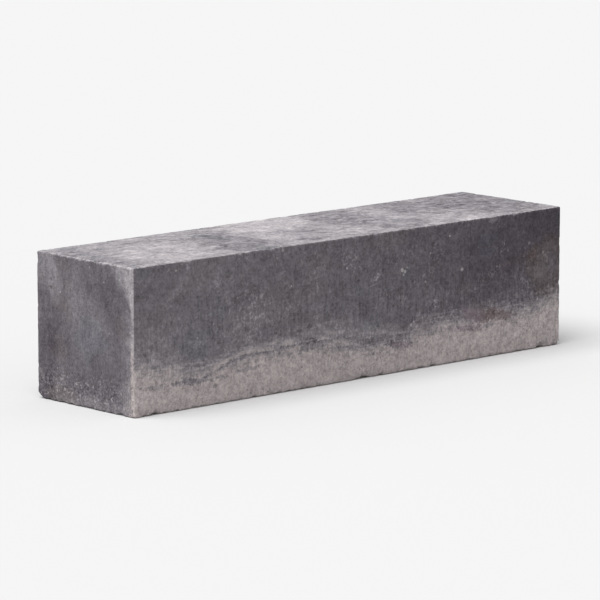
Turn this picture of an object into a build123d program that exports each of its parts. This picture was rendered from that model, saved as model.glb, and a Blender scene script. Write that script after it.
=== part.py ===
"""Garden wall block: one solid block of pressed concrete for dry-laid or glued garden walls.

The block lies on its bed, as in a course of the wall. X runs along the course, Y through the
wall from its show face to its back, Z upwards. The origin is the middle of the bed.
"""

import os

from build123d import *

# Driving dimensions, in millimetres.
LENGTH = 600.0  # along the course
DEPTH = 150.0  # through the wall
HEIGHT = 150.0  # one course
MOULD_CORNER_RADIUS = 3.0  # the four upright arrises, from the corners of the mould
TOP_ARRIS_RADIUS = 2.0  # the arris round the top, pressed by the tamper plate
BED_ARRIS_CHAMFER = 1.5  # the arris round the bed, where the casting burr is knocked off

# Corners of the bed that broke off in handling: how far each break runs along the three edges.
BACK_LEFT_BREAK = Vector(9.0, 8.0, 7.0)
FRONT_RIGHT_BREAK = Vector(5.0, 5.0, 6.0)


def pressed_body():
    """The block as it leaves the mould: a plan with rounded corners, pressed to one course."""
    plan = RectangleRounded(LENGTH, DEPTH, MOULD_CORNER_RADIUS)
    return extrude(plan, HEIGHT)


def ease_arrises(body):
    """Rounds the arris of the top face and bevels that of the bed."""
    faces = body.faces().sort_by(Axis.Z)
    body = fillet(faces[-1].edges(), TOP_ARRIS_RADIUS)
    bed = body.faces().sort_by(Axis.Z)[0]
    return chamfer(bed.edges(), BED_ARRIS_CHAMFER)


def broken_corner(side_x, side_y, reach):
    """The wedge lost at one corner of the bed; side_x and side_y are -1 or 1, reach its legs."""
    corner = Vector(side_x * LENGTH / 2, side_y * DEPTH / 2, 0)
    along = corner - Vector(side_x * reach.X, 0, 0)
    across = corner - Vector(0, side_y * reach.Y, 0)
    up = corner + Vector(0, 0, reach.Z)
    # The wedge runs on outside the block, so that its only face inside is the break itself.
    break_plane = Plane(origin=along, x_dir=across - along, z_dir=(across - along).cross(up - along))
    outwards = break_plane.z_dir.dot(corner - along)
    room = 2 * reach.length
    return extrude(break_plane * Rectangle(2 * room, 2 * room), room if outwards > 0 else -room)


def wall_block():
    """The finished block, with its eased arrises and its two broken corners."""
    body = ease_arrises(pressed_body())
    body -= broken_corner(-1, 1, BACK_LEFT_BREAK)
    body -= broken_corner(1, -1, FRONT_RIGHT_BREAK)
    return body


os.makedirs("parts", exist_ok=True)
export_step(wall_block(), "parts/wall_block.step")
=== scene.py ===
"""A garden wall block of pressed two-tone concrete, with its worn arrises and its cloudy finish.

The block lies on its bed. X runs along the course, Y from the show face to the back, Z upwards,
and the origin is the middle of the bed. Meshes are in metres. The finish is worked out in
millimetres from each point's place on the block.
"""

import math
import random
from types import SimpleNamespace

import bmesh
import bpy
from bpy.props import FloatProperty, FloatVectorProperty, IntProperty, PointerProperty
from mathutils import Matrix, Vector, kdtree, noise


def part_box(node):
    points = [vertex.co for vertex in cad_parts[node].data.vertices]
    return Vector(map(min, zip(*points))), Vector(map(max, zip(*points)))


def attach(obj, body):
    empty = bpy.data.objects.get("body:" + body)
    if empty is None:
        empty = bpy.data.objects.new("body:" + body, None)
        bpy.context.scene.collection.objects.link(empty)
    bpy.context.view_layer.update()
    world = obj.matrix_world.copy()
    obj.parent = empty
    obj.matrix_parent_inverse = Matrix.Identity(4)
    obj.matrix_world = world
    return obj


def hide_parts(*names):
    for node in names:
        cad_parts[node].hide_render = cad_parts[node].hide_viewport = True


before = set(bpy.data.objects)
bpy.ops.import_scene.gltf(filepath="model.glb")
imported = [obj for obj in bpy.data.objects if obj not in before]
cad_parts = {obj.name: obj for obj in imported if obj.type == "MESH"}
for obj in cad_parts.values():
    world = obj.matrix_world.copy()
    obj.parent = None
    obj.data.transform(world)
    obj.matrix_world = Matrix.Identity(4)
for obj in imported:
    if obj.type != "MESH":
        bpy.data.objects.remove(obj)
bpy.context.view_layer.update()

bl_info = {
    "name": "Garden wall block",
    "version": (1, 0, 0),
    "blender": (4, 5, 0),
    "location": "View3D > Sidebar > Wall block",
    "description": "Models a pressed concrete wall block with worn arrises and a two-tone finish",
    "category": "Add Mesh",
}

NODE = "wall_block"
LOW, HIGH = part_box(NODE)
MM = 0.001

# Corners of the bed that broke off: the side in X and Y, and the reach along the three edges.
BROKEN_CORNERS = (
    (-1, 1, Vector((0.009, 0.008, 0.007))),
    (1, -1, Vector((0.005, 0.005, 0.006))),
)
# A break: the depth of its roughness, the size of its lumps, the roughness, spacing and number of its
# octaves, the cuts that divide it, and how near to its plane a point belongs to it.
BREAK_ROUGHNESS = 0.0009
BREAK_LUMP = 0.004
BREAK_NOISE = (0.8, 2.0, 3)
BREAK_CUTS = 2
BREAK_MARGIN = 0.0001

# The grid: parts across an arris, the most parts of one subdivision, and how straight an edge runs.
ARRIS_SEGMENTS = 3
MOST_PIECES = 100
STRAIGHT = 0.999
# How far out from its rim a hollow has finer faces, and a pit finer ones still.
HOLLOW_RIM = 0.0016
PIT_RIM = 0.0006
# Concrete that is lost where the vertex weight is 1.
DEEPEST_LOSS = 0.005

# Chips that show: place on an arris, radius and depth.
PLACED_CHIPS = (
    (Vector((-0.272, LOW.y, LOW.z)), 0.0060, 0.0026),
    (Vector((0.012, LOW.y, LOW.z)), 0.0075, 0.0030),
    (Vector((0.095, LOW.y, LOW.z)), 0.0040, 0.0016),
    (Vector((0.270, LOW.y, LOW.z)), 0.0065, 0.0028),
    (Vector((0.196, LOW.y, HIGH.z)), 0.0080, 0.0018),
    (Vector((LOW.x, -0.052, LOW.z)), 0.0055, 0.0020),
)

# Small pits that show in the pale band: place along and up the show face, and radius.
PLACED_PITS = (
    (-0.038, 0.030, 0.0022),
    (-0.053, 0.035, 0.0017),
    (0.025, 0.024, 0.0020),
    (-0.023, 0.029, 0.0016),
    (-0.021, 0.016, 0.0014),
    (-0.250, 0.090, 0.0016),
)
# Depth of those pits in radii.
PIT_SHARE = 0.45

# Random chips: how many lie along X, Y and Z, the share on the bed, radii, and depths in radii.
CHIP_WEIGHTS = (10, 4, 1)
BED_CHIP_SHARE = 0.6
CHIP_RADII = (0.0018, 0.0046)
UPRIGHT_CHIP_RADII = (0.0014, 0.0024)
CHIP_DEPTHS = (0.22, 0.42)
# Random pits: radii, and depths in radii.
PIT_RADII = (0.0014, 0.0034)
PIT_DEPTHS = (0.25, 0.45)
# A hollow's ragged rim: how far out it can lie, in radii, how ragged it is and its grain.
RIM_SEARCH = 1.3
RIM_RAGGEDNESS = 0.3
RIM_GRAIN = 0.003

# Crumbling of an arris: how far it reaches over the faces, and for the arrises of the bed, the top
# and the corners how ready they are to crumble, how jagged they get and the size of the lumps.
CRUMBLE_REACH = 0.0040
BED_CRUMBLE = (-0.02, 4, 0.008)
TOP_CRUMBLE = (-0.25, 4, 0.008)
UPRIGHT_CRUMBLE = (-0.30, 2, 0.015)
# Roughness and spacing of the octaves of the crumbling.
CRUMBLE_NOISE = (0.9, 2.0)

# Grain and detail of the clouds that shape the casting skin and the bow of the faces.
SKIN_CLOUDS = (0.0075, 1)
BOW_CLOUDS = (0.09, 3)


class WallBlockShape(bpy.types.PropertyGroup):
    """Sizes of the modelled surface."""

    arris_radius: FloatProperty(
        name="Arris radius",
        description="Rounding of the arrises before wear",
        default=0.0022,
        unit="LENGTH",
    )
    face_step: FloatProperty(
        name="Face grid",
        description="Spacing of the grid in the middle of the faces",
        default=0.0030,
        unit="LENGTH",
    )
    arris_band: FloatProperty(
        name="Arris band",
        description="Width of the finer band along the arrises",
        default=0.009,
        unit="LENGTH",
    )
    arris_step: FloatProperty(
        name="Arris grid",
        description="Spacing of the grid in the band along the arrises",
        default=0.0018,
        unit="LENGTH",
    )
    crumble_depth: FloatProperty(
        name="Crumble",
        description="Depth to which the arrises have crumbled",
        default=0.0030,
        unit="LENGTH",
    )
    skin_depth: FloatProperty(
        name="Skin",
        description="Depth of the rough casting skin",
        default=0.00045,
        unit="LENGTH",
    )
    bow_depth: FloatProperty(
        name="Bow",
        description="Depth of the slow unevenness of the faces",
        default=0.0005,
        unit="LENGTH",
    )
    chip_count: IntProperty(name="Chips", description="Small chips along the arrises", default=70)
    pit_count: IntProperty(name="Pits", description="Open pits in the faces", default=130)
    seed: IntProperty(name="Seed", description="Start of the random draws", default=11)


class WallBlockColours(bpy.types.PropertyGroup):
    """Colours of the concrete."""

    anthracite: FloatVectorProperty(
        name="Anthracite", description="Dark mix", default=(0.083, 0.0715, 0.085), subtype="COLOR"
    )
    blue_black: FloatVectorProperty(
        name="Blue black", description="Cool dark mix", default=(0.076, 0.075, 0.094), subtype="COLOR"
    )
    brown_black: FloatVectorProperty(
        name="Brown black", description="Warm dark mix", default=(0.094, 0.075, 0.077), subtype="COLOR"
    )
    pale_grey: FloatVectorProperty(
        name="Pale grey", description="Pale mix", default=(0.430, 0.407, 0.428), subtype="COLOR"
    )
    beige: FloatVectorProperty(
        name="Beige", description="Warm pale mix", default=(0.450, 0.400, 0.398), subtype="COLOR"
    )
    lime: FloatVectorProperty(
        name="Lime", description="Pale grains", default=(0.620, 0.590, 0.590), subtype="COLOR"
    )
    mauve: FloatVectorProperty(
        name="Mauve", description="Reddish stain", default=(0.205, 0.166, 0.192), subtype="COLOR"
    )
    rust: FloatVectorProperty(
        name="Rust", description="Brown stain", default=(0.160, 0.126, 0.130), subtype="COLOR"
    )
    # The near-black colour of the black grains, and of the painted shade in the pores and pits.
    soot_and_shade: FloatVectorProperty(
        name="Soot",
        description="Pores and black grains",
        default=(0.055, 0.050, 0.054),
        subtype="COLOR",
    )


class WallBlockStage(bpy.types.PropertyGroup):
    """Camera, light and floor."""

    camera_place: FloatVectorProperty(
        name="Camera",
        description="Where the camera stands",
        default=(-3.015, -3.261, 0.840),
        unit="LENGTH",
    )
    camera_aim: FloatVectorProperty(
        name="Aim",
        description="What the camera looks at",
        default=(-0.010, 0.0, 0.075),
        unit="LENGTH",
    )
    lens: FloatProperty(name="Lens", description="Focal length in millimetres", default=261.0)
    sky: FloatProperty(name="Sky", description="Strength of the even light", default=0.46)
    backdrop: FloatProperty(name="Backdrop", description="Brightness of the backdrop", default=0.93)
    lamp: FloatProperty(name="Lamp", description="Strength of the soft lamp", default=2.6)
    lamp_spread: FloatProperty(
        name="Lamp spread", description="Angle that the soft lamp fills", default=0.9, unit="ROTATION"
    )
    lamp_way: FloatVectorProperty(
        name="Lamp way",
        description="Way that the lamp's light goes",
        default=(0.38, 0.02, -0.92),
        subtype="XYZ",
    )
    floor: FloatVectorProperty(
        name="Floor", description="Colour of the floor", default=(0.75, 0.75, 0.75), subtype="COLOR"
    )


def pick_edges(block, wanted):
    """Selects, in edit mode, the edges that wanted(start, end) accepts, and no others."""
    bpy.ops.mesh.select_mode(type="EDGE")
    bpy.ops.mesh.select_all(action="DESELECT")
    edit_mesh = bmesh.from_edit_mesh(block.data)
    for edge in edit_mesh.edges:
        if wanted(edge.verts[0].co, edge.verts[1].co):
            edge.select_set(True)
    edit_mesh.select_flush_mode()
    bmesh.update_edit_mesh(block.data)


def rounded_box(arris_radius):
    """A box at the size of the block with rounded arrises, left in edit mode."""
    bpy.ops.object.select_all(action="DESELECT")
    bpy.ops.mesh.primitive_cube_add(size=1, location=(LOW + HIGH) / 2, scale=HIGH - LOW)
    block = bpy.context.object
    block.name = "concrete_block"
    bpy.ops.object.transform_apply(location=True, rotation=True, scale=True)
    bpy.ops.object.mode_set(mode="EDIT")
    pick_edges(block, lambda start, end: True)
    bpy.ops.mesh.bevel(offset=arris_radius, segments=ARRIS_SEGMENTS, affect="EDGES")
    return block


def cut_bands(band):
    """Cuts a narrow band beside each arris."""
    for axis in range(3):
        across = Vector()
        across[axis] = 1
        for place in (LOW[axis] + band, HIGH[axis] - band):
            bpy.ops.mesh.select_all(action="SELECT")
            bpy.ops.mesh.bisect(plane_co=across * place, plane_no=across)


def divide(block, axis, first, last, step):
    """Divides the edges along one axis between two places, in two turns where the steps are many."""

    def wanted(start, end):
        run = end - start
        middle = (start[axis] + end[axis]) / 2
        return first < middle < last and abs(run[axis]) > STRAIGHT * run.length

    pieces = round((last - first) / step)
    turns = math.ceil(pieces / MOST_PIECES)
    for share in (turns, round(pieces / turns)):
        if share > 1:
            pick_edges(block, wanted)
            bpy.ops.mesh.subdivide(number_cuts=share - 1, smoothness=0)


def lay_grid(block, shape):
    """Lays a grid over the faces, closer in the bands beside the arrises."""
    for axis in range(3):
        inner_low = LOW[axis] + shape.arris_band
        inner_high = HIGH[axis] - shape.arris_band
        divide(block, axis, inner_low, inner_high, shape.face_step)
        divide(block, axis, LOW[axis], inner_low, shape.arris_step)
        divide(block, axis, inner_high, HIGH[axis], shape.arris_step)


def break_plane(side_x, side_y, reach):
    """A point of a broken corner's plane, and the direction out of the block."""
    corner_x = HIGH.x if side_x > 0 else LOW.x
    corner_y = HIGH.y if side_y > 0 else LOW.y
    point = Vector((corner_x - side_x * reach.x, corner_y, LOW.z))
    outwards = Vector((side_x / reach.x, side_y / reach.y, -1 / reach.z)).normalized()
    return point, outwards


def break_corner(side_x, side_y, reach):
    """Cuts one corner of the bed off, closes the cut and divides it finely."""
    point, outwards = break_plane(side_x, side_y, reach)
    bpy.ops.mesh.select_all(action="SELECT")
    bpy.ops.mesh.bisect(plane_co=point, plane_no=outwards, use_fill=True, clear_outer=True)
    bpy.ops.mesh.select_mode(type="FACE")
    bpy.ops.mesh.quads_convert_to_tris(ngon_method="BEAUTY")
    bpy.ops.mesh.subdivide(number_cuts=BREAK_CUTS, smoothness=0)


def arris_chips(count, draw):
    """Random small chips along the arrises, most of them along the bed."""
    chips = []
    for _ in range(count):
        along = draw.choices((0, 1, 2), weights=CHIP_WEIGHTS)[0]
        place = Vector(draw.choice((LOW[axis], HIGH[axis])) for axis in range(3))
        if along != 2 and draw.random() < BED_CHIP_SHARE:
            place.z = LOW.z
        place[along] = draw.uniform(LOW[along], HIGH[along])
        radius = draw.uniform(*(UPRIGHT_CHIP_RADII if along == 2 else CHIP_RADII))
        chips.append((place, radius, radius * draw.uniform(*CHIP_DEPTHS)))
    return chips


def face_pits(count, draw):
    """Random open pits all over the faces."""
    spans = HIGH - LOW
    areas = (spans.y * spans.z, spans.x * spans.z, spans.x * spans.y)
    pits = []
    for _ in range(count):
        across = draw.choices((0, 1, 2), weights=areas)[0]
        place = Vector(draw.uniform(LOW[axis], HIGH[axis]) for axis in range(3))
        place[across] = draw.choice((LOW[across], HIGH[across]))
        radius = draw.uniform(*PIT_RADII)
        pits.append((place, radius, radius * draw.uniform(*PIT_DEPTHS)))
    return pits


def to_arris(point):
    """About how far a point of the surface is from the nearest arris."""
    gaps = (gap for axis in range(3) for gap in (point[axis] - LOW[axis], HIGH[axis] - point[axis]))
    return sorted(gaps)[1]


def refine(block, hollows, rim, arris_reach=0.0):
    """Splits the faces round the hollows, and those within a reach of an arris, once more."""
    bpy.ops.mesh.select_mode(type="FACE")
    bpy.ops.mesh.select_all(action="DESELECT")
    edit_mesh = bmesh.from_edit_mesh(block.data)
    edit_mesh.faces.ensure_lookup_table()
    middles = kdtree.KDTree(len(edit_mesh.faces))
    for face in edit_mesh.faces:
        middle = face.calc_center_median()
        middles.insert(middle, face.index)
        face.select_set(to_arris(middle) < arris_reach)
    middles.balance()
    for place, radius, _ in hollows:
        for _, index, _ in middles.find_range(place, radius + rim):
            edit_mesh.faces[index].select_set(True)
    edit_mesh.select_flush_mode()
    bmesh.update_edit_mesh(block.data)
    bpy.ops.mesh.subdivide(number_cuts=1, smoothness=0)


def crumble_kind(point):
    """How ready the arris nearest to a point is to crumble, how jagged it gets and its lumps."""
    if point.z < LOW.z + CRUMBLE_REACH:
        return BED_CRUMBLE
    if point.z > HIGH.z - CRUMBLE_REACH:
        return TOP_CRUMBLE
    return UPRIGHT_CRUMBLE


def crumble_at(point, depth):
    """How deep an arris has crumbled at a point of the surface."""
    nearness = 1 - to_arris(point) / CRUMBLE_REACH
    if nearness <= 0:
        return 0.0
    readiness, octaves, lump = crumble_kind(point)
    loose = noise.fractal(point / lump, *CRUMBLE_NOISE, octaves) + readiness
    return depth * max(0.0, loose) * nearness


def break_at(point):
    """Roughness of a broken corner at a point of the surface."""
    for corner in BROKEN_CORNERS:
        on_plane, outwards = break_plane(*corner)
        if abs((point - on_plane).dot(outwards)) < BREAK_MARGIN:
            return BREAK_ROUGHNESS * (1 + noise.fractal(point / BREAK_LUMP, *BREAK_NOISE))
    return 0.0


def hollow_depths(mesh, hollows):
    """How deep the hollows are at each vertex, in metres along the normal."""
    depths = [0.0] * len(mesh.vertices)
    tree = kdtree.KDTree(len(mesh.vertices))
    for vertex in mesh.vertices:
        tree.insert(vertex.co, vertex.index)
    tree.balance()
    for place, radius, depth in hollows:
        for co, index, distance in tree.find_range(place, radius * RIM_SEARCH):
            ragged = 1 + RIM_RAGGEDNESS * noise.noise(co / RIM_GRAIN)
            bowl = max(0.0, 1 - (distance / (radius * ragged)) ** 2)
            depths[index] = max(depths[index], depth * bowl)
    return depths


def note_depths(mesh, name, depths):
    """Keeps depths on the mesh, in millimetres, for the finish to read."""
    shown = mesh.attributes.new(name, "FLOAT", "POINT")
    shown.data.foreach_set("value", [depth / MM for depth in depths])


def displace(block, name, depth, group="", clouds=None):
    """Pushes the surface in: by a vertex group's weights, or by clouds of a grain and a detail."""
    modifier = block.modifiers.new(name, "DISPLACE")
    if group:
        modifier.vertex_group = group
        modifier.mid_level = 0
        modifier.strength = -depth
    else:
        texture = bpy.data.textures.new(name, "CLOUDS")
        texture.noise_scale, texture.noise_depth = clouds
        modifier.texture = texture
        modifier.texture_coords = "LOCAL"
        modifier.mid_level = 1
        modifier.strength = depth
    bpy.ops.object.modifier_apply(modifier=name)


def wear_surface(block, shape, chips, pits):
    """Takes away the lost concrete and roughens what is left."""
    mesh = block.data
    crumbs = [crumble_at(v.co, shape.crumble_depth) + break_at(v.co) for v in mesh.vertices]
    chipped = [max(pair) for pair in zip(crumbs, hollow_depths(mesh, chips))]
    pitted = hollow_depths(mesh, pits)
    lost = block.vertex_groups.new(name="lost")
    for index, depth in enumerate(map(max, chipped, pitted)):
        if depth > 0:
            lost.add([index], min(1, depth / DEEPEST_LOSS), "REPLACE")
    note_depths(mesh, "chip_depth", chipped)
    note_depths(mesh, "pit_depth", pitted)
    displace(block, "lost_concrete", DEEPEST_LOSS, group="lost")
    displace(block, "casting_skin", shape.skin_depth, clouds=SKIN_CLOUDS)
    displace(block, "mould_bow", shape.bow_depth, clouds=BOW_CLOUDS)


def model_block(shape):
    """The block's worn mesh, in its place."""
    block = rounded_box(shape.arris_radius)
    cut_bands(shape.arris_band)
    lay_grid(block, shape)
    for corner in BROKEN_CORNERS:
        break_corner(*corner)
    draw = random.Random(shape.seed)
    chips = [*PLACED_CHIPS, *arris_chips(shape.chip_count, draw)]
    pits = [(Vector((x, LOW.y, z)), radius, radius * PIT_SHARE) for x, z, radius in PLACED_PITS]
    pits += face_pits(shape.pit_count, draw)
    refine(block, chips + pits, HOLLOW_RIM, CRUMBLE_REACH)
    refine(block, pits, PIT_RIM)
    bpy.ops.object.mode_set(mode="OBJECT")
    wear_surface(block, shape, chips, pits)
    bpy.ops.object.shade_smooth()
    return block


class Wire:
    """A node's output as a value that Python's operators work on."""

    def __init__(self, tree, socket):
        self.tree = tree
        self.socket = socket

    def sibling(self, output):
        """Another output of the same node."""
        return Wire(self.tree, self.socket.node.outputs[output])

    def math(self, operation, *values):
        """A Math node on this value and others."""
        return self.tree.add("ShaderNodeMath", {"operation": operation}, dict(enumerate(values)))

    def __add__(self, other):
        return self.math("ADD", self, other)

    __radd__ = __add__

    def __sub__(self, other):
        return self.math("SUBTRACT", self, other)

    def __rsub__(self, other):
        return self.math("SUBTRACT", other, self)

    def __mul__(self, other):
        return self.math("MULTIPLY", self, other)

    __rmul__ = __mul__

    def __truediv__(self, other):
        return self.math("DIVIDE", self, other)

    def least(self, other):
        """The smaller of two values."""
        return self.math("MINIMUM", self, other)

    def most(self, other):
        """The larger of two values."""
        return self.math("MAXIMUM", self, other)

    def fade(self, start, end):
        """0 up to start, 1 from end on, and smooth between; start may lie above end."""
        return self.tree.add(
            "ShaderNodeMapRange",
            {"interpolation_type": "SMOOTHSTEP"},
            {0: self, 1: start, 2: end},
        )


class ShaderTree:
    """A node tree, emptied, with one way to add any node."""

    def __init__(self, tree):
        tree.nodes.clear()
        self.tree = tree

    def add(self, kind, settings=None, inputs=None, output=0):
        """Adds a node, sets it, feeds its sockets with values or wires, and gives one output."""
        node = self.tree.nodes.new(kind)
        for name, value in (settings or {}).items():
            if name == "stops":
                set_stops(node.color_ramp, value)
            else:
                setattr(node, name, value)
        for socket, value in (inputs or {}).items():
            if isinstance(value, Wire):
                self.tree.links.new(value.socket, node.inputs[socket])
            else:
                node.inputs[socket].default_value = value
        return Wire(self, node.outputs[output]) if node.outputs else node

    def mix(self, share, first, second, blend="MIX"):
        """A colour between two colours; the share is that of the second."""
        return self.add(
            "ShaderNodeMix",
            {"data_type": "RGBA", "blend_type": blend},
            {0: share, 6: first, 7: second},
            output=2,
        )

    def between(self, share, first, second):
        """A number between two numbers; the share is that of the second."""
        return self.add("ShaderNodeMix", {"data_type": "FLOAT"}, {0: share, 2: first, 3: second})


def set_stops(ramp, stops):
    """Gives a colour ramp its stops, as pairs of a place and a grey."""
    ramp.interpolation = "EASE"
    while len(ramp.elements) < len(stops):
        ramp.elements.new(0.5)
    for element, (place, grey) in zip(ramp.elements, stops):
        element.position = place
        element.color = (grey, grey, grey, 1)


# Width of an arris over which one face's finish changes to the next, in millimetres.
FACE_CHANGE = 0.7
# How a noise's shift is spread over X, Y and Z.
SHIFT_WAYS = (1.0, 1.7, 2.3)


class BlockPlace:
    """Where a point lies on the block, in millimetres, with the noises that the finish is made of."""

    def __init__(self, tree):
        self.tree = tree
        metres = tree.add("ShaderNodeTexCoord", output=3)
        self.point = tree.add(
            "ShaderNodeVectorMath", {"operation": "SCALE"}, {0: metres, "Scale": 1 / MM}
        )
        self.x, self.y, self.z = (
            tree.add("ShaderNodeSeparateXYZ", inputs={0: self.point}, output=axis) for axis in range(3)
        )
        self.to_front = self.y - LOW.y / MM
        self.to_back = HIGH.y / MM - self.y
        self.to_left = self.x - LOW.x / MM
        self.to_right = HIGH.x / MM - self.x
        self.to_top = HIGH.z / MM - self.z
        to_other_sides = self.to_back.least(self.to_right)
        self.on_front = self.nearer(self.to_front, to_other_sides.least(self.to_left))
        self.on_left = self.nearer(self.to_left, to_other_sides.least(self.to_front))
        self.on_top = self.nearer(self.to_top, to_other_sides.least(self.to_front).least(self.to_left))

    def nearer(self, face, others):
        """1 where a face is nearer than the others, changing over within an arris."""
        return (others - face).fade(-FACE_CHANGE, FACE_CHANGE)

    def grown(self, size, shift):
        """The point in units of a grain's size, moved by a shift so that noises differ."""
        share = [1 / length for length in size]
        return self.tree.add(
            "ShaderNodeVectorMath",
            {"operation": "MULTIPLY_ADD"},
            {0: self.point, 1: share, 2: [shift * way for way in SHIFT_WAYS]},
        )

    def noise(self, size, shift=0.0, detail=2.0, roughness=0.5, distortion=0.0):
        """Cloudy noise about 0, mostly within half a unit each way, of a grain's size."""
        cloud = self.tree.add(
            "ShaderNodeTexNoise",
            inputs={
                "Vector": self.grown(size, shift),
                "Scale": 1.0,
                "Detail": detail,
                "Roughness": roughness,
                "Distortion": distortion,
            },
        )
        return cloud - 0.5

    def grains(self, size, shift=0.0):
        """Scattered grains: the distance from the nearest grain's middle, and its random number."""
        place = {"Vector": self.grown((size, size, size), shift), "Scale": 1.0}
        distance = self.tree.add("ShaderNodeTexVoronoi", inputs=place)
        lot = self.tree.add("ShaderNodeSeparateColor", inputs={0: distance.sibling("Color")})
        return distance * size, lot


# The finish. Tones run from 0, the dark mix, to 1, the pale mix; places and sizes are in millimetres.
# Noises: the grain's size along X, Y and Z, a shift, the detail, the roughness and the distortion.
NOISES = {
    "warp": ((38, 38, 38), 1.3, 3, 0.60, 0.0),
    "fray": ((18, 18, 13), 4.9, 6, 0.72, 0.0),
    "streak": ((46, 46, 5), 2.7, 5, 0.68, 0.0),
    "wisp": ((42, 42, 3.2), 6.1, 4, 0.60, 0.6),
    "hair": ((22, 22, 1.6), 29.3, 3, 0.60, 0.8),
    "drip": ((5, 5, 70), 10.7, 3, 0.60, 0.0),
    "drag": ((2.8, 2.8, 24), 17.9, 3, 0.60, 0.0),
    "mottle": ((5, 5, 5), 19.7, 3, 0.72, 0.0),
    "clump": ((26, 26, 20), 37.1, 3, 0.55, 0.0),
    "blotch": ((13, 13, 13), 20.9, 2, 0.50, 0.0),
    "grit": ((2.6, 2.6, 2.6), 31.3, 2, 0.70, 0.0),
    "sand": ((1.2, 1.2, 1.2), 15.1, 2, 0.60, 0.0),
    "ragged": ((9, 9, 11), 13.3, 3, 0.65, 0.0),
    "front_haze": ((34, 34, 24), 3.1, 4, 0.62, 0.0),
    "end_haze": ((22, 22, 40), 5.3, 5, 0.65, 0.0),
    "end_speckle": ((10, 10, 8), 35.9, 4, 0.68, 0.0),
    "top_haze": ((46, 30, 46), 7.7, 2, 0.50, 0.0),
    "top_flecks": ((17, 11, 17), 8.3, 5, 0.68, 0.6),
    "top_wisps": ((7, 6, 7), 33.7, 4, 0.68, 0.6),
    "free_band": ((150, 120, 400), 9.1, 1, 0.50, 0.0),
    "free_patches": ((70, 70, 34), 11.9, 5, 0.65, 0.0),
    "hue": ((85, 60, 60), 21.3, 2, 0.50, 0.0),
}
# How far the noises push the edge of the pale band, and how they show in the layers along it.
BAND_ROUGHNESS = {"streak": 26, "fray": 18, "wisp": 8, "mottle": 14, "grit": 12, "drag": 6}
BAND_LAYERS = {"wisp": 0.55, "hair": 0.35}
BAND_SOFTNESS = 19
# How the noises lighten and darken the colour, and how they raise and sink the surface.
SHADE_WEIGHTS = {"sand": 0.70, "grit": 1.12, "mottle": 0.82, "blotch": 0.44}
RELIEF_WEIGHTS = {"sand": 0.50, "grit": 0.40, "mottle": 0.6}
# Marks of the mould: shade, relief, how much clearer above the pale band, and from where to where.
DRAG_SHADE = 0.42
DRAG_RELIEF = 0.35
DRAG_GAIN = 1.2
DRAG_TOP = (120, 80)
DRAG_FOOT = (48, 66)
# How far a tone past the pale or the dark mix goes on lightening or darkening.
BEYOND_SHADE = 1.0
# How far the mottles change the tone of every face.
MOTTLE_TONE = 0.10

# Height of the pale band along the show face: place along the block and height.
FRONT_BAND = (
    (-300, 52),
    (-255, 42),
    (-215, 34),
    (-180, 38),
    (-145, 46),
    (-90, 46),
    (-45, 43),
    (-10, 38),
    (25, 34),
    (65, 34),
    (90, 42),
    (150, 43),
    (240, 45),
    (300, 54),
)
# Height that a colour ramp's white stands for.
BAND_SCALE = 100.0
# The show face: tones of the mixes, fall of the dark one to the right, cloudiness, and the veil on it.
FRONT_DARK_TONE = 0.125
FRONT_DARK_SLOPE = -0.00043
FRONT_DARK_HAZE = 0.24
FRONT_VEIL_TONE = 0.045
FRONT_VEIL_HEIGHTS = (98, 52)
FRONT_PALE_TONE = 0.905
FRONT_PALE_HAZE = 0.16
# Clumps of pale specks on the dark, and runs at the right.
CLUMP_TONE = 0.26
CLUMP_RANGE = (-0.05, 0.25)
CLUMP_SPECKS = (0.0, 0.32)
RUN_TONE = 0.12
RUN_PLACES = (180, 290)
# How the show face's patches and strokes are bent, broken and softened.
FRONT_WARP = 18
PATCH_STREAK = 10
PATCH_FRAY = 2.4
PATCH_RIM = 0.7
STROKE_WAVES = {"streak": 7, "fray": 6}
STROKE_BREAKS = {"fray": 3.6, "mottle": 3.0, "grit": 3.0}
STROKE_RIM = 0.8
# The left end: tone, cloudiness, salt and pepper above the bed, and runs down from the top.
END_TONE = 0.180
END_HAZE = 0.40
SPECKLE_TONE = 0.6
SPECKLE_HEIGHTS = (44, 18)
SPECK_TONE = 0.44
SPECK_WEIGHTS = {"end_speckle": 1.0, "grit": 0.8}
SPECK_RANGE = (0.08, 0.30)
SPECK_HEIGHTS = (38, 20)
END_RUN_TONE = 0.5
END_RUN_HEIGHTS = (60, 115)
END_RUN_PLACES = (-20, 45)
END_WARP_ACROSS = 16
END_WARP_UP = 14
END_FRAY = {"fray": 2.4, "drip": 2.0, "mottle": 1.2}
END_RIM = 0.9
# The top: tone, clouds, and how its patches lie askew and are bent, frayed and softened.
TOP_TONE = 0.74
TOP_CLOUDS = {"top_haze": 0.4, "top_flecks": 1.7, "top_wisps": 1.2}
TOP_SKEW = 0.12
TOP_WARP_ALONG = 30
TOP_WARP_ACROSS = 20
TOP_FRAY = {"fray": 1.8, "top_wisps": 1.2}
TOP_RIM = 0.4
# The other faces: tones and cloudiness of the mixes, loose patches, and the band's height and waves.
FREE_DARK_TONE = 0.14
FREE_DARK_HAZE = 0.35
FREE_PALE_TONE = 0.88
FREE_PALE_HAZE = 0.3
FREE_PATCH_TONE = 0.4
FREE_PATCH_RANGE = (0.06, 0.30)
FREE_BAND_HEIGHT = 46
FREE_BAND_WAVES = 70
FREE_BAND_DROP = 34
FREE_DROP_REACH = (70, 0)
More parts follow.
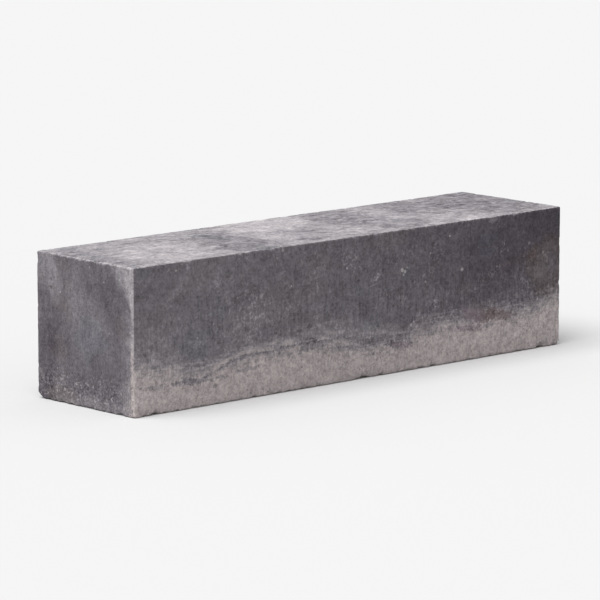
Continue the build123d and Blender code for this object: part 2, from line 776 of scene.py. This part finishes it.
# Lime down the left end's front arris: a beaded rim with a glow, a wedge at the top, and a foot.
LIME_WIDTH = 4.6
LIME_EDGE = {"ragged": 10, "grit": 4}
LIME_SOFTNESS = 2.5
LIME_TONE = 0.52
LIME_EVEN = 0.80
LIME_BEADS = {"ragged": 1.5, "blotch": 0.9}
GLOW_TONE = 0.10
GLOW_REACH = (15, 2)
WEDGE_TONE = 0.54
WEDGE_LEAST_WIDTH = 5
WEDGE_SPREAD = 40
WEDGE_SPREAD_HEIGHTS = (100, 150)
WEDGE_TEARS = {"drip": 0.7, "fray": 0.7, "grit": 0.4}
WEDGE_RIM = (1.05, 0.15)
WEDGE_HEIGHTS = (96, 120)
FOOT_TONE = 0.14
FOOT_REACH = (26, 2)
FOOT_HEIGHTS = (72, 30)
LIME_MOST = 0.60
# Pale wear on the top's arrises: its width, its ragged edge, and where and how strong it is.
WEAR_WIDTH = 2.3
WEAR_EDGE = {"ragged": 5, "grit": 3}
WEAR_SOFTNESS = (-1.0, 1.2)
LEFT_WEAR_TONE = 0.60
LEFT_WEAR_PLACES = (60, 15)
FRONT_WEAR_TONE = 0.22
FRONT_WEAR_PLACES = (-160, 60)
# How the stains are broken, bent and softened.
STAIN_BREAKS = {"fray": 3.4, "streak": 2.8, "mottle": 2.2, "grit": 2.0}
STAIN_FRAY = 6
STAIN_RIM = (1.7, 0.1)
# Lean of the dark mix to brown and blue, and of the pale one to beige.
HUE_TEARS = {"fray": 2.0, "drip": 1.6}
HUE_RIM = (1.7, 0.1)
BROWN_RANGE = (0.05, 0.3)
BLUE_RANGE = (-0.05, -0.3)
TOP_BLUE = 0.12
BEIGE_HEIGHTS = (90, 50)
BEIGE_SHARES = (0.35, 0.8)
TOP_BEIGE = 0.22
TOP_BEIGE_SHARES = (0.65, 1.0)
# Grains and pores: spacing and shift, ragged edge, and for each kind its radii, its lots and strength.
GRAINS = (7.0, 23.9)
GRAIN_EDGE = {"mottle": 1.6, "sand": 1.2}
PALE_GRAIN_RADII = (1.5, 0.7)
PALE_GRAIN_LOTS = (0.92, 1.0)
PALE_GRAIN_STRENGTH = 0.5
BLACK_GRAIN_RADII = (1.4, 0.6)
BLACK_GRAIN_LOTS = (0.14, 0.04)
BLACK_GRAIN_STRENGTH = 0.4
FRONT_GRAIN_EDGE = {"grit": 2.2, "sand": 2.0}
FRONT_GRAIN_RIM = (1.6, 0.2)
# The pores are painted darker than the concrete round them: painted shade in the voids.
PORES = (5.0, 27.1)
PORE_RADII = (1.2, 0.4)
PORE_LOTS = (0.80, 0.95)
PORE_SHADE_STRENGTH = 0.45
# Depths at which a chip begins to show and shows fully, the same for a pit, and how strongly they do.
CHIP_SHOWS = (0.15, 0.7)
PIT_SHOWS = (0.2, 0.9)
LOSS_STRENGTH = 0.35
# The surface: strength of the relief, roughness and its spread, and sheen.
BUMP = 0.6
ROUGHNESS = 0.92
ROUGHNESS_SPREAD = 0.12
SPECULAR = 0.12

# Patches and strokes: place across and up the face, half width, half height, slope and change of tone.
FRONT_PATCHES = (
    (20, 85, 130, 55, 0, 0.030),
    (282, 88, 30, 20, 0, 0.07),
    (-285, 66, 26, 14, 0, 0.06),
    (-142, 84, 34, 16, 0, 0.06),
    (-25, 58, 50, 8, 0, 0.06),
    (25, 49, 34, 6, 0, 0.13),
    (-285, 140, 40, 30, 0, -0.05),
    (290, 146, 60, 26, 0, -0.15),
    (190, 108, 60, 26, 0, -0.04),
    (-20, 16, 110, 30, 0, -0.05),
    (262, 22, 50, 26, 0, -0.05),
)
FRONT_STROKES = (
    (-192, 39, 14, 3.0, 0.26, 0.20),
    (-170, 44, 12, 2.8, 0.18, 0.22),
    (-148, 49, 14, 2.2, 0.12, 0.24),
    (-124, 48, 9, 2.2, -0.06, 0.20),
    (-112, 54, 12, 1.8, 0.12, 0.22),
    (-90, 52, 9, 2.4, 0.08, 0.22),
    (-68, 57, 9, 2.0, -0.06, 0.18),
    (-54, 51, 10, 2.2, -0.14, 0.20),
    (-44, 58, 14, 3.0, -0.55, 0.14),
    (-196, 34, 16, 2.8, 0.22, -0.10),
    (-174, 39, 12, 2.6, 0.20, -0.10),
    (-150, 43, 16, 2.4, 0.05, -0.18),
    (-120, 43, 13, 2.0, -0.10, -0.18),
    (-98, 46, 12, 2.2, 0.05, -0.18),
    (-48, 46, 12, 2.0, -0.10, -0.18),
    (-220, 27.5, 38, 3.2, -0.02, -0.32),
    (-148, 30.5, 16, 2.2, 0.05, -0.28),
    (-272, 27, 18, 2.2, -0.07, -0.22),
    (-72, 42, 17, 4.6, 0.33, -0.20),
    (-22, 43, 14, 1.8, -0.10, 0.24),
    (-26, 53, 14, 1.8, -0.10, 0.20),
    (62, 30, 18, 3.2, -0.12, -0.26),
    (28, 46, 12, 2.0, -0.06, 0.18),
    (56, 43, 10, 1.8, -0.10, 0.16),
    (195, 34, 14, 2.2, -0.08, -0.22),
    (205, 50, 20, 1.8, 0.05, 0.18),
)
END_PATCHES = (
    (62, 144, 18, 28, 0, 0.26),
    (48, 118, 9, 18, 0, 0.14),
    (22, 112, 20, 24, 0, 0.11),
    (-5, 76, 30, 28, 0, 0.08),
    (42, 72, 20, 28, 0, -0.05),
    (58, 52, 18, 24, 0, -0.06),
    (-32, 122, 20, 18, 0, -0.06),
    (-70, 10, 16, 26, 0, 0.16),
    (-6, 0, 50, 12, 0, 0.24),
    (62, 10, 14, 18, 0, -0.06),
    (0, 140, 60, 14, 0, 0.03),
    (-70, 74, 8, 7, 0, 0.24),
)
TOP_PATCHES = (
    (-210, -22, 50, 54, 0, 0.18),
    (-286, 10, 16, 66, 0, -0.20),
    (-114, -24, 32, 70, 0, -0.26),
    (-22, 44, 58, 38, 0, 0.27),
    (-64, -8, 22, 56, 0, 0.11),
    (-40, -54, 16, 10, 0, -0.26),
    (-2, -34, 10, 8, 0, -0.22),
    (28, -48, 20, 18, 0, 0.12),
    (66, 26, 36, 46, 0, -0.26),
    (98, -42, 36, 26, 0, -0.24),
    (124, 2, 14, 34, 0, 0.12),
    (176, 30, 34, 52, 0, -0.24),
    (255, 5, 52, 80, 0, -0.30),
    (186, -66, 22, 12, 0, 0.36),
    (125, -68, 24, 8, 0, 0.08),
)
# Stains of the show face: colour, strength, place along and up, half width, half height and slope.
STAINS = (
    ("rust", 0.95, 194, 45, 19, 7, 0.10),
    ("rust", 0.75, 213, 42, 15, 5, -0.04),
    ("rust", 0.50, 176, 49, 16, 5, 0.10),
    ("mauve", 0.75, 166, 48, 16, 9, -0.30),
    ("mauve", 0.75, 158, 34.5, 24, 3.4, -0.08),
    ("mauve", 0.60, 64, 29, 18, 4.0, -0.10),
    ("mauve", 0.40, 92, 46, 16, 6, 0.00),
)
# Where the faces lean to brown or blue: face, place across and up, half width, half height and lean.
HUE_CLOUDS = (
    ("front", -215, 82, 45, 30, -0.14),
    ("front", 290, 84, 42, 40, 0.26),
    ("left", -5, 68, 32, 32, -0.22),
    ("left", 38, 7, 26, 10, 0.30),
)
# Where pale specks gather on the dark of the show face, and how soft the rim is.
SPECKLED_CLOUD = (-146, 88, 30, 28)
SPECKLED_RIM = (1.5, 0.2)
# Pale grains that stand out on the show face: place along and up, radius and strength.
FRONT_GRAINS = (
    (65, 107, 2.1, 0.95),
    (69, 105, 1.8, 0.9),
    (67, 102, 1.4, 0.6),
    (72, 109, 1.2, 0.6),
    (62, 104, 1.0, 0.4),
    (30, 107, 1.4, 0.35),
    (152, 98, 1.9, 0.8),
    (78, 48, 1.7, 0.8),
    (82, 51, 1.3, 0.5),
    (-102, 146, 1.8, 0.6),
    (220, 111, 1.6, 0.25),
    (244, 102, 1.4, 0.2),
    (252, 115, 1.6, 0.35),
    (273, 103, 1.6, 0.4),
    (-132, 102, 2.6, 0.30),
    (-161, 76, 3.0, 0.35),
    (232, 19, 2.4, 0.6),
)


def weighed(clouds, weights):
    """A weighted sum of the shared noises."""
    return sum(getattr(clouds, name) * weight for name, weight in weights.items())


def oval(along, up, patch):
    """Squared distance from the middle of an oval patch, 1 on its rim."""
    place_along, place_up, half_width, half_height = patch
    out_along = (along - place_along) / half_width
    out_up = (up - place_up) / half_height
    return out_along * out_along + out_up * out_up


def patched(tone, along, up, patches, fray, rim):
    """A face's tone with its patches, frayed at their rims."""
    for place_along, place_up, half_width, half_height, slope, change in patches:
        level = up - (along - place_along) * slope if slope else up
        reach = oval(along, level, (place_along, place_up, half_width, half_height))
        tone = tone + (reach + fray).fade(1 + rim, 1 - rim) * change
    return tone


def banded(place, height, above, below, clouds):
    """A face's tone with a pale band below a height, wispy and layered where the two mixes meet."""
    depth = height - place.z + weighed(clouds, BAND_ROUGHNESS)
    share = depth.fade(-BAND_SOFTNESS, BAND_SOFTNESS)
    meeting = share * (1 - share) * 4
    return place.tree.between(share, above, below) + meeting * weighed(clouds, BAND_LAYERS)


def front_tone(place, clouds):
    """The show face: dark above, a pale band of uneven height below, streaky where they meet."""
    tree = place.tree
    span = (HIGH.x - LOW.x) / MM
    stops = [(0.5 + along / span, height / BAND_SCALE) for along, height in FRONT_BAND]
    band = tree.add("ShaderNodeValToRGB", {"stops": stops}, {0: place.to_left / span})
    height = tree.add("ShaderNodeSeparateColor", inputs={0: band}) * BAND_SCALE
    veil = place.z.fade(*FRONT_VEIL_HEIGHTS) * FRONT_VEIL_TONE
    speckled = oval(place.x, place.z, SPECKLED_CLOUD).fade(*SPECKLED_RIM)
    gathered = clouds.clump.fade(*CLUMP_RANGE).most(speckled)
    clumps = gathered * (clouds.mottle + clouds.grit).fade(*CLUMP_SPECKS) * CLUMP_TONE
    above = FRONT_DARK_TONE + place.x * FRONT_DARK_SLOPE
    above = above + clouds.front_haze * FRONT_DARK_HAZE + veil + clumps
    below = FRONT_PALE_TONE + clouds.front_haze * FRONT_PALE_HAZE
    tone = banded(place, height, above, below, clouds)
    tone = tone + clouds.drip * place.x.fade(*RUN_PLACES) * RUN_TONE
    along = place.x + clouds.warp * FRONT_WARP
    up = place.z + clouds.streak * PATCH_STREAK
    tone = patched(tone, along, up, FRONT_PATCHES, clouds.fray * PATCH_FRAY, PATCH_RIM)
    wavy = place.z + weighed(clouds, STROKE_WAVES)
    return patched(tone, along, wavy, FRONT_STROKES, weighed(clouds, STROKE_BREAKS), STROKE_RIM)


def end_tone(place, clouds):
    """The left end: dark with soft pale smears, and speckled above the bed."""
    speckle = (clouds.end_speckle + clouds.grit) * place.z.fade(*SPECKLE_HEIGHTS)
    specks = weighed(clouds, SPECK_WEIGHTS).fade(*SPECK_RANGE) * place.z.fade(*SPECK_HEIGHTS)
    runs = clouds.drip * place.z.fade(*END_RUN_HEIGHTS) * place.y.fade(*END_RUN_PLACES)
    tone = END_TONE + clouds.end_haze * END_HAZE + speckle * SPECKLE_TONE
    tone = tone + specks * SPECK_TONE + runs * END_RUN_TONE
    across = place.y + clouds.warp * END_WARP_ACROSS
    up = place.z + clouds.warp * END_WARP_UP
    return patched(tone, across, up, END_PATCHES, weighed(clouds, END_FRAY), END_RIM)


def top_tone(place, clouds):
    """The top: pale, with crisp darker clouds and wisps that lie a little askew."""
    tone = TOP_TONE + weighed(clouds, TOP_CLOUDS)
    askew = place.x - place.y * TOP_SKEW + clouds.warp * TOP_WARP_ALONG
    across = place.y + clouds.warp * TOP_WARP_ACROSS
    return patched(tone, askew, across, TOP_PATCHES, weighed(clouds, TOP_FRAY), TOP_RIM)


def free_tone(place, clouds):
    """The other faces: a pale band of free height and loose patches."""
    drop = place.to_left.fade(*FREE_DROP_REACH) * FREE_BAND_DROP
    height = FREE_BAND_HEIGHT + clouds.free_band * FREE_BAND_WAVES - drop
    haze = clouds.free_patches
    above = FREE_DARK_TONE + haze.fade(*FREE_PATCH_RANGE) * FREE_PATCH_TONE + haze * FREE_DARK_HAZE
    below = FREE_PALE_TONE + haze * FREE_PALE_HAZE
    return banded(place, height, above, below, clouds)


def lime_bloom(place, clouds):
    """Pale lime on the left end beside the show face, wider at the top and above the bed."""
    out = LIME_WIDTH + weighed(clouds, LIME_EDGE) - place.to_front
    beads = LIME_EVEN + weighed(clouds, LIME_BEADS)
    rim = out.fade(-LIME_SOFTNESS, LIME_SOFTNESS) * beads * LIME_TONE
    glow = place.to_front.fade(*GLOW_REACH) * GLOW_TONE
    wedge_width = place.z.fade(*WEDGE_SPREAD_HEIGHTS) * WEDGE_SPREAD + WEDGE_LEAST_WIDTH
    wedge_edge = place.to_front / wedge_width + weighed(clouds, WEDGE_TEARS)
    wedge = wedge_edge.fade(*WEDGE_RIM) * place.z.fade(*WEDGE_HEIGHTS) * WEDGE_TONE
    foot = place.to_front.fade(*FOOT_REACH) * place.z.fade(*FOOT_HEIGHTS) * FOOT_TONE
    lime = (rim + glow + wedge + foot).least(LIME_MOST) * (1 + clouds.mottle)
    return lime * place.on_left * (1 - place.on_top)


def worn_arrises(place, clouds):
    """Pale wear on the top's arrises, strongest on the left end and to the right of the show face."""
    width = WEAR_WIDTH + weighed(clouds, WEAR_EDGE) - place.to_top
    left = (width - place.to_left).fade(*WEAR_SOFTNESS) * place.y.fade(*LEFT_WEAR_PLACES)
    front = (width - place.to_front).fade(*WEAR_SOFTNESS) * place.x.fade(*FRONT_WEAR_PLACES)
    return left * LEFT_WEAR_TONE + front * FRONT_WEAR_TONE


def mixes(share, colours, place, clouds):
    """The dark mix, which leans to brown and to blue in a few clouds, and the pale one."""
    tree = place.tree
    faces = {"front": (place.on_front, place.x), "left": (place.on_left, place.y)}
    torn = weighed(clouds, HUE_TEARS)
    hue = clouds.hue - place.on_top * TOP_BLUE
    for face, *cloud, lean in HUE_CLOUDS:
        on_face, across = faces[face]
        hue = hue + on_face * (oval(across, place.z, cloud) + torn).fade(*HUE_RIM) * lean
    dark = tree.mix(hue.fade(*BROWN_RANGE), (*colours.anthracite, 1), (*colours.brown_black, 1))
    dark = tree.mix(hue.fade(*BLUE_RANGE), dark, (*colours.blue_black, 1))
    warm = place.z.fade(*BEIGE_HEIGHTS) * share.fade(*BEIGE_SHARES)
    warm = warm + place.on_top * share.fade(*TOP_BEIGE_SHARES) * TOP_BEIGE
    return dark, tree.mix(warm, (*colours.pale_grey, 1), (*colours.beige, 1))


def stained(colour, colours, place, clouds):
    """The show face's brown and mauve stains, broken into streaks, laid over a colour."""
    broken = weighed(clouds, STAIN_BREAKS)
    along = place.x + clouds.warp * FRONT_WARP
    for name, strength, place_along, place_up, half_width, half_height, slope in STAINS:
        level = place.z + clouds.fray * STAIN_FRAY - (along - place_along) * slope
        reach = oval(along, level, (place_along, place_up, half_width, half_height))
        cover = (reach + broken).fade(*STAIN_RIM) * place.on_front * strength
        colour = place.tree.mix(cover, colour, (*getattr(colours, name), 1))
    return colour


def grained(colour, colours, place, clouds):
    """Pale and black grains laid over a colour."""
    far, lot = place.grains(*GRAINS)
    far = far + weighed(clouds, GRAIN_EDGE)
    pale_grain = far.fade(*PALE_GRAIN_RADII) * lot.fade(*PALE_GRAIN_LOTS)
    black_grain = far.fade(*BLACK_GRAIN_RADII) * lot.fade(*BLACK_GRAIN_LOTS)
    edge = weighed(clouds, FRONT_GRAIN_EDGE)
    for along, up, radius, strength in FRONT_GRAINS:
        grain = (oval(place.x, place.z, (along, up, radius, radius)) + edge).fade(*FRONT_GRAIN_RIM)
        pale_grain = pale_grain + grain * place.on_front * strength
    colour = place.tree.mix(pale_grain.least(1) * PALE_GRAIN_STRENGTH, colour, (*colours.lime, 1))
    return place.tree.mix(black_grain * BLACK_GRAIN_STRENGTH, colour, (*colours.soot_and_shade, 1))


def concrete(colours):
    """Two-tone pressed concrete: cloudy colour, sand, pale and black grains, pores and pits painted
    darker as shade, and worn arrises.
    """
    material = bpy.data.materials.new("two_tone_concrete")
    material.use_nodes = True
    tree = ShaderTree(material.node_tree)
    place = BlockPlace(tree)
    clouds = SimpleNamespace(**{name: place.noise(*settings) for name, settings in NOISES.items()})
    soot_and_shade = (*colours.soot_and_shade, 1)

    tone = free_tone(place, clouds)
    tone = tree.between(place.on_left, tone, end_tone(place, clouds))
    tone = tree.between(place.on_front, tone, front_tone(place, clouds))
    tone = tree.between(place.on_top, tone, top_tone(place, clouds))
    tone = tone + lime_bloom(place, clouds) + worn_arrises(place, clouds) + clouds.mottle * MOTTLE_TONE
    share = tone.most(0).least(1)
    dark, pale = mixes(share, colours, place, clouds)
    colour = stained(tree.mix(share, dark, pale), colours, place, clouds)
    colour = grained(colour, colours, place, clouds)
    # Pores: dark spots painted into the colour as shade in the voids, and sunk a little in the bump.
    far, lot = place.grains(*PORES)
    pore = (far + clouds.sand).fade(*PORE_RADII) * lot.fade(*PORE_LOTS)
    colour = tree.mix(pore * PORE_SHADE_STRENGTH, colour, soot_and_shade)

    # Freshly broken concrete takes the colour halfway between the two mixes, paler than the dark skin,
    # and the bottom of a pit is painted darker: painted shade in the hollow, and dirt.
    chipped = tree.add("ShaderNodeAttribute", {"attribute_name": "chip_depth"}, output=2)
    pitted = tree.add("ShaderNodeAttribute", {"attribute_name": "pit_depth"}, output=2)
    colour = tree.mix(chipped.fade(*CHIP_SHOWS) * LOSS_STRENGTH, colour, tree.mix(0.5, dark, pale))
    colour = tree.mix(pitted.fade(*PIT_SHOWS) * LOSS_STRENGTH, colour, soot_and_shade)

    # Sand and mottles, and the marks of the mould drawn up the sides, clearest above the pale band.
    clearest = place.on_front * place.z.fade(*DRAG_TOP) * place.z.fade(*DRAG_FOOT)
    drag = clouds.drag * (1 - place.on_top) * (1 + clearest * DRAG_GAIN)
    shade = 1 + weighed(clouds, SHADE_WEIGHTS) + drag * DRAG_SHADE + (tone - share) * BEYOND_SHADE
    grey = tree.add("ShaderNodeCombineColor", inputs={0: shade, 1: shade, 2: shade})
    relief = weighed(clouds, RELIEF_WEIGHTS) + drag * DRAG_RELIEF - pore
    bump = tree.add("ShaderNodeBump", inputs={"Strength": BUMP, "Distance": MM, "Height": relief})
    shader = tree.add(
        "ShaderNodeBsdfPrincipled",
        inputs={
            "Base Color": tree.mix(1.0, colour, grey, "MULTIPLY"),
            "Roughness": ROUGHNESS + clouds.sand * ROUGHNESS_SPREAD,
            "Specular IOR Level": SPECULAR,
            "Normal": bump,
        },
    )
    tree.add("ShaderNodeOutputMaterial", inputs={"Surface": shader})
    return material


# The stage: side of the floor, and how far the camera sees, in metres.
FLOOR_SIZE = 120
FARTHEST_SEEN = 300


def add_floor(colour):
    """A wide plain floor under the block."""
    bpy.ops.object.select_all(action="DESELECT")
    bpy.ops.mesh.primitive_plane_add(size=FLOOR_SIZE)
    floor = bpy.context.object
    floor.name = "studio_floor"
    material = bpy.data.materials.new("plain_floor")
    material.use_nodes = True
    tree = ShaderTree(material.node_tree)
    shader = tree.add(
        "ShaderNodeBsdfPrincipled",
        inputs={"Base Color": (*colour, 1), "Roughness": 1.0, "Specular IOR Level": 0.0},
    )
    tree.add("ShaderNodeOutputMaterial", inputs={"Surface": shader})
    floor.data.materials.append(material)


def add_sky(strength, backdrop):
    """Even light from all round, seen by the camera and in gloss as a pale backdrop."""
    world = bpy.data.worlds.new("studio_sky")
    world.use_nodes = True
    tree = ShaderTree(world.node_tree)
    light = tree.add("ShaderNodeBackground", inputs={"Color": (1, 1, 1, 1), "Strength": strength})
    seen = tree.add("ShaderNodeBackground", inputs={"Color": (1, 1, 1, 1), "Strength": backdrop})
    camera_ray, glossy_ray, transmission_ray = (
        tree.add("ShaderNodeLightPath", output=name)
        for name in ("Is Camera Ray", "Is Glossy Ray", "Is Transmission Ray")
    )
    share = (camera_ray + glossy_ray + transmission_ray).least(1)
    both = tree.add("ShaderNodeMixShader", inputs={0: share, 1: light, 2: seen})
    tree.add("ShaderNodeOutputWorld", inputs={"Surface": both})
    bpy.context.scene.world = world


def add_lamp(strength, spread, way):
    """One wide soft lamp, high and a little to the left."""
    lamp = bpy.data.lights.new("soft_lamp", "SUN")
    lamp.energy = strength
    lamp.angle = spread
    lamp_object = bpy.data.objects.new("soft_lamp", lamp)
    lamp_object.rotation_mode = "QUATERNION"
    lamp_object.rotation_quaternion = Vector(way).to_track_quat("-Z", "Y")
    bpy.context.scene.collection.objects.link(lamp_object)


def add_camera(place, aim, lens):
    """The camera at the photograph's viewing angle."""
    camera = bpy.data.cameras.new("camera")
    camera.lens = lens
    camera.clip_end = FARTHEST_SEEN
    camera_object = bpy.data.objects.new("camera", camera)
    camera_object.location = place
    camera_object.rotation_mode = "QUATERNION"
    camera_object.rotation_quaternion = (Vector(aim) - Vector(place)).to_track_quat("-Z", "Y")
    bpy.context.scene.collection.objects.link(camera_object)
    bpy.context.scene.camera = camera_object


class AddWallBlock(bpy.types.Operator):
    """Models the block and gives it its concrete"""

    bl_idname = "wall_block.add_block"
    bl_label = "Add wall block"

    def execute(self, context):
        block = model_block(context.scene.wall_block_shape)
        block.data.materials.append(concrete(context.scene.wall_block_colours))
        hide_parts(NODE)
        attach(block, "root")
        return {"FINISHED"}


class SetWallBlockStage(bpy.types.Operator):
    """Sets up the floor, the light and the camera"""

    bl_idname = "wall_block.set_stage"
    bl_label = "Set stage"

    def execute(self, context):
        stage = context.scene.wall_block_stage
        add_floor(stage.floor)
        add_sky(stage.sky, stage.backdrop)
        add_lamp(stage.lamp, stage.lamp_spread, stage.lamp_way)
        add_camera(stage.camera_place, stage.camera_aim, stage.lens)
        context.scene.view_settings.view_transform = "Standard"
        return {"FINISHED"}


class WallBlockPanel(bpy.types.Panel):
    """The block's sizes, colours and stage in the sidebar"""

    bl_idname = "VIEW3D_PT_wall_block"
    bl_label = "Wall block"
    bl_space_type = "VIEW_3D"
    bl_region_type = "UI"
    bl_category = "Wall block"

    def draw(self, context):
        scene = context.scene
        for settings in (scene.wall_block_shape, scene.wall_block_colours, scene.wall_block_stage):
            box = self.layout.box()
            for name in settings.__annotations__:
                box.prop(settings, name)
        self.layout.operator(AddWallBlock.bl_idname)
        self.layout.operator(SetWallBlockStage.bl_idname)


CLASSES = (
    WallBlockShape,
    WallBlockColours,
    WallBlockStage,
    AddWallBlock,
    SetWallBlockStage,
    WallBlockPanel,
)


def register():
    for each in CLASSES:
        bpy.utils.register_class(each)
    bpy.types.Scene.wall_block_shape = PointerProperty(type=WallBlockShape)
    bpy.types.Scene.wall_block_colours = PointerProperty(type=WallBlockColours)
    bpy.types.Scene.wall_block_stage = PointerProperty(type=WallBlockStage)


def unregister():
    del bpy.types.Scene.wall_block_stage
    del bpy.types.Scene.wall_block_colours
    del bpy.types.Scene.wall_block_shape
    for each in reversed(CLASSES):
        bpy.utils.unregister_class(each)


def main():
    """Builds the block and its stage."""
    register()
    bpy.ops.wall_block.add_block()
    bpy.ops.wall_block.set_stage()


if __name__ == "__main__":
    main()
